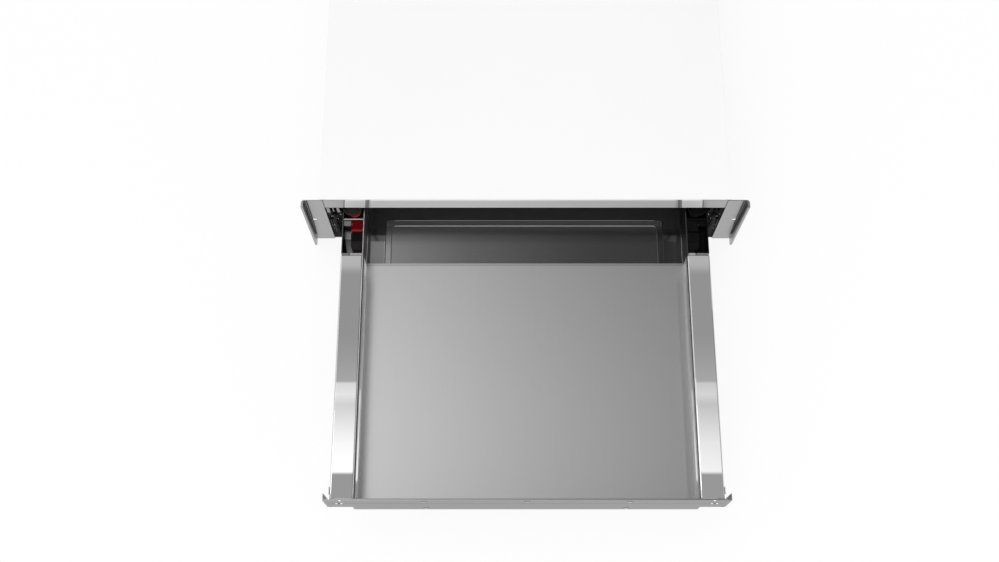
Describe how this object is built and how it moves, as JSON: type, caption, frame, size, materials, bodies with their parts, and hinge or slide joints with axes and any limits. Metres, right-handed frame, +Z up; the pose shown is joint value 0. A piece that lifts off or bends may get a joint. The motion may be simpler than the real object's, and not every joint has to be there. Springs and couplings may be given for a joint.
{
  "type": "built-in warming drawer",
  "caption": "Built-in warming drawer without furniture front: folded steel casing with front frame, heated pan drawer drawn out on telescopic rails, fan at the rear.",
  "frame": {"origin": "middle of the bounding box's bottom, with the drawer drawn out as in the picture", "axes": "+X to the right seen from the front, +Y from the front into the cabinet, +Z up"},
  "size_m": [0.594, 0.9418, 0.136],
  "materials": {
    "satin_steel": "satin",
    "polished_steel": "polished",
    "dark_steel": "polished",
    "zinc_steel": "zinc plated",
    "black_plastic": "matt",
    "grey_plastic": "matt",
    "red_plastic": "satin",
    "aluminium": "cast",
    "heating_foil": "laminated foil"
  },
  "bodies": {
    "casing": {"base_plate": "zinc_steel", "side_wall_left": "zinc_steel", "side_wall_right": "zinc_steel", "back_wall": "zinc_steel", "top_cover": "zinc_steel", "side_frame_left": "satin_steel", "side_frame_right": "satin_steel", "frame_crossbar": "satin_steel", "rail_end_block_left": "black_plastic", "rail_end_block_right": "black_plastic", "rail_support_left": "zinc_steel", "rail_support_right": "zinc_steel", "cabinet_rail_left": "zinc_steel", "cabinet_rail_right": "zinc_steel", "fan_housing": "zinc_steel", "fan_motor": "black_plastic", "ring_heater": "dark_steel", "temperature_limiter": "black_plastic", "terminal_box": "black_plastic", "terminal_lid": "black_plastic", "cable_gland": "black_plastic"},
    "drawer": {"drawer_rail_left": "zinc_steel", "drawer_rail_right": "zinc_steel", "drawer_pan": "dark_steel", "floor_plate": "satin_steel", "pan_wall_left": "satin_steel", "pan_wall_right": "satin_steel", "pan_rear_wall": "satin_steel", "inner_front_wall": "satin_steel", "side_cover_left": "polished_steel", "side_cover_right": "polished_steel", "front_mounting_plate": "satin_steel", "front_bracket_left": "zinc_steel", "front_bracket_right": "zinc_steel", "front_adjuster_left": "zinc_steel", "front_adjuster_right": "zinc_steel", "mechanism_tray_left": "zinc_steel", "mechanism_tray_right": "zinc_steel", "damper_housing_left": "black_plastic", "damper_housing_right": "black_plastic", "catch_bracket_left": "zinc_steel", "catch_bracket_right": "zinc_steel", "lever_pin_left": "zinc_steel", "lever_pin_right": "zinc_steel", "lever_bridge_left": "zinc_steel", "lever_bridge_right": "zinc_steel", "damper_hub_left": "red_plastic", "damper_hub_right": "black_plastic", "damper_cap_left": "grey_plastic", "damper_cap_right": "grey_plastic", "heating_mat": "heating_foil", "heat_shield": "zinc_steel", "thermostat": "black_plastic"},
    "rail_stage_left": {"middle_rail_left": "zinc_steel"},
    "rail_stage_right": {"middle_rail_right": "zinc_steel"},
    "fan_wheel": {"fan_impeller": "aluminium"},
    "lever_left": {"release_lever_left": "red_plastic"},
    "lever_right": {"release_lever_right": "black_plastic"}
  },
  "joints": [
    {"name": "drawer_slide", "type": "slide", "parent": "casing", "child": "drawer", "axis": [0, 1, 0], "range_m": [0, 0.382]},
    {"name": "rail_slide_left", "type": "slide", "parent": "casing", "child": "rail_stage_left", "axis": [0, 1, 0], "range_m": [0, 0.191]},
    {"name": "rail_slide_right", "type": "slide", "parent": "casing", "child": "rail_stage_right", "axis": [0, 1, 0], "range_m": [0, 0.191]},
    {"name": "fan_spin", "type": "hinge", "parent": "casing", "child": "fan_wheel", "pos_m": [0, 0.4234, 0.08], "axis": [0, 0, 1], "continuous": true},
    {"name": "lever_press_left", "type": "hinge", "parent": "drawer", "child": "lever_left", "pos_m": [-0.2253, -0.0941, 0.0948], "axis": [1, 0, 0], "range_deg": [0, 10], "stiffness_Nm_per_rad": 0.05, "springref_deg": -5.73},
    {"name": "lever_press_right", "type": "hinge", "parent": "drawer", "child": "lever_right", "pos_m": [0.2253, -0.0941, 0.0948], "axis": [1, 0, 0], "range_deg": [0, 10], "stiffness_Nm_per_rad": 0.05, "springref_deg": -5.73}
  ],
  "couplings": [
    {"joint": "rail_slide_left", "follows": "drawer_slide", "ratio": 0.5},
    {"joint": "rail_slide_right", "follows": "drawer_slide", "ratio": 0.5}
  ]
}
